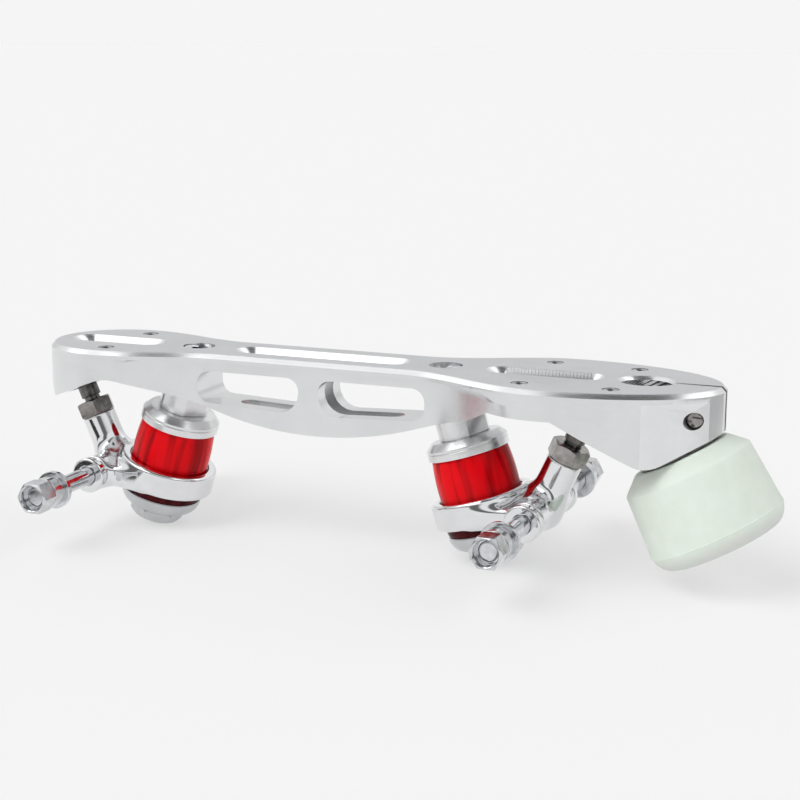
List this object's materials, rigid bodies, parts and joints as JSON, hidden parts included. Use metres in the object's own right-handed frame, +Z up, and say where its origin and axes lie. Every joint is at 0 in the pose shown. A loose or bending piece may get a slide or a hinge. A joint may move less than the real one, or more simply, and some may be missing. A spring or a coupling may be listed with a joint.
{
  "type": "roller skate plate",
  "caption": "Aluminium roller skate plate with a steering truck and red cushions under each end, bare axles for wheels and a pale rubber toe stop screwed into a clamped nose.",
  "frame": {"origin": "under the middle of the part's length and width, on the surface it stands on", "axes": "+X towards the toe, +Z up out of the deck, +Y to the left of the skate"},
  "size_m": [0.2878, 0.123, 0.0718],
  "materials": {
    "plate_aluminium": "polished, satin on the deck",
    "turned_aluminium": "turned satin",
    "truck_chrome": "mirror chrome",
    "plated_steel": "bright plated",
    "dark_steel": "dark plated",
    "red_cushion": "clear red urethane",
    "dark_red_cushion": "dark red urethane",
    "toe_stop_rubber": "pale satin rubber",
    "black_plastic": "matte"
  },
  "bodies": {
    "plate": {"plate": "plate_aluminium", "pinch_bolt": "dark_steel", "toe_kingpin": "plated_steel", "toe_collar": "turned_aluminium", "toe_upper_cap": "turned_aluminium", "toe_upper_cushion": "red_cushion", "toe_lower_cushion": "dark_red_cushion", "toe_lower_cup": "turned_aluminium", "toe_kingpin_nut": "turned_aluminium", "toe_pivot_cup": "black_plastic", "heel_kingpin": "plated_steel", "heel_collar": "turned_aluminium", "heel_upper_cap": "turned_aluminium", "heel_upper_cushion": "red_cushion", "heel_lower_cushion": "dark_red_cushion", "heel_lower_cup": "turned_aluminium", "heel_kingpin_nut": "turned_aluminium", "heel_pivot_cup": "black_plastic"},
    "toe_truck": {"toe_hanger": "truck_chrome", "toe_axle": "plated_steel", "toe_axle_nuts": "plated_steel", "toe_axle_spacers": "plated_steel", "toe_axle_washers": "plated_steel", "toe_pivot_pin": "dark_steel", "toe_lock_nut": "dark_steel"},
    "heel_truck": {"heel_hanger": "truck_chrome", "heel_axle": "plated_steel", "heel_axle_nuts": "plated_steel", "heel_axle_spacers": "plated_steel", "heel_axle_washers": "plated_steel", "heel_pivot_pin": "dark_steel", "heel_lock_nut": "dark_steel"},
    "toe_stop_collar": {"toe_stop_washer": "dark_steel"},
    "toe_stop": {"toe_stop_stem": "plated_steel", "toe_stop_rubber": "toe_stop_rubber"}
  },
  "joints": [
    {"name": "toe_steer", "type": "hinge", "parent": "plate", "child": "toe_truck", "pos_m": [0.07237, 0, 0.05557], "axis": [0.7229, 0, 0.6909], "range_deg": [-10, 10], "stiffness_Nm_per_rad": 7, "deforming": ["toe_upper_cushion", "toe_lower_cushion"]},
    {"name": "heel_steer", "type": "hinge", "parent": "plate", "child": "heel_truck", "pos_m": [-0.13422, 0, 0.05557], "axis": [-0.7229, 0, 0.6909], "range_deg": [-10, 10], "stiffness_Nm_per_rad": 7, "deforming": ["heel_upper_cushion", "heel_lower_cushion"]},
    {"name": "toe_stop_slide", "type": "slide", "parent": "plate", "child": "toe_stop_collar", "axis": [0.4772, 0, -0.8788], "range_m": [0, 0.00847]},
    {"name": "toe_stop_turn", "type": "hinge", "parent": "toe_stop_collar", "child": "toe_stop", "pos_m": [0.09377, 0, 0.07177], "axis": [0.4772, 0, -0.8788], "range_deg": [0, 2160]}
  ],
  "couplings": [
    {"joint": "toe_stop_turn", "follows": "toe_stop_slide", "rad_per_m": 4452.7}
  ]
}
